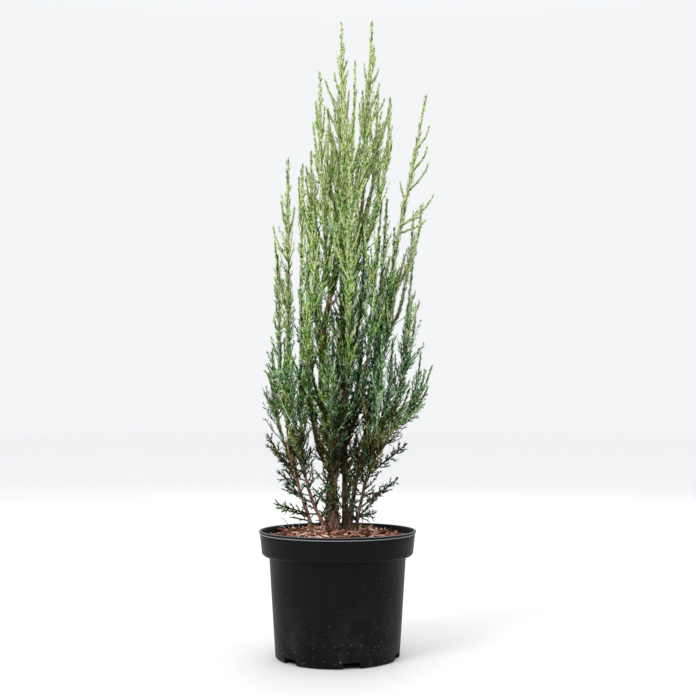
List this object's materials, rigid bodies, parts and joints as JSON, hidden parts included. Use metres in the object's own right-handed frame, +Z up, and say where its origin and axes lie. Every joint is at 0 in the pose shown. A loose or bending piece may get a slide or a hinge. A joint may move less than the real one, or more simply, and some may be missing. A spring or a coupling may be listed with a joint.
{
  "type": "potted columnar juniper",
  "caption": "Upright columnar juniper with fine ascending foliage spires on several stems, in a round black nursery pot filled with bark mulch.",
  "frame": {"origin": "centre of the pot's flat underside", "axes": "+Z up along the stems, -Y towards the front of the plant as pictured, +X to the right of that view"},
  "size_m": [0.3073, 0.2617, 1.068],
  "materials": {
    "pot": "satin black with fine streaks and scuffs",
    "mulch": "matt, shredded reddish bark",
    "bark": "matt, fibrous red-brown bark",
    "foliage": "matt, yellow-green at the tips and blue-green below"
  },
  "bodies": {
    "root": {"pot": "pot", "mulch": "mulch", "trunk": "bark", "second_stem": "bark", "right_stem": "bark", "right_low_stem": "bark", "left_stem": "bark", "left_inner_stem": "bark", "leader_bough": "bark", "front_bough": "bark", "front_right_bough": "bark", "back_left_bough": "bark", "back_right_bough": "bark", "back_left_spire": "foliage", "back_middle_spire": "foliage", "back_right_spire": "foliage", "back_upper_spire": "foliage", "foot_back_twig": "foliage", "foot_front_twig": "foliage", "foot_left_low_twig": "foliage", "foot_left_twig": "foliage", "foot_left_upper_twig": "foliage", "foot_right_low_twig": "foliage", "foot_right_twig": "foliage", "foot_right_upper_twig": "foliage", "front_left_spire": "foliage", "front_right_spire": "foliage", "front_spire": "foliage", "inner_front_spire": "foliage", "inner_left_low_spire": "foliage", "inner_left_spire": "foliage", "inner_right_low_spire": "foliage", "inner_right_spire": "foliage", "left_leader_spire": "foliage", "left_middle_spire": "foliage", "left_outer_spire": "foliage", "left_spire": "foliage", "low_back_left_spray": "foliage", "low_back_right_spray": "foliage", "low_back_spray": "foliage", "low_front_left_spray": "foliage", "low_front_right_spray": "foliage", "low_front_spray": "foliage", "low_left_spray": "foliage", "low_right_spray": "foliage", "right_back_spire": "foliage", "right_inner_spire": "foliage", "right_leader_spire": "foliage", "right_outer_spire": "foliage", "right_spire": "foliage", "right_upper_spire": "foliage", "upper_back_right_spire": "foliage", "upper_back_spire": "foliage", "upper_front_spire": "foliage", "upper_left_spire": "foliage", "upper_right_spire": "foliage"}
  },
  "joints": []
}
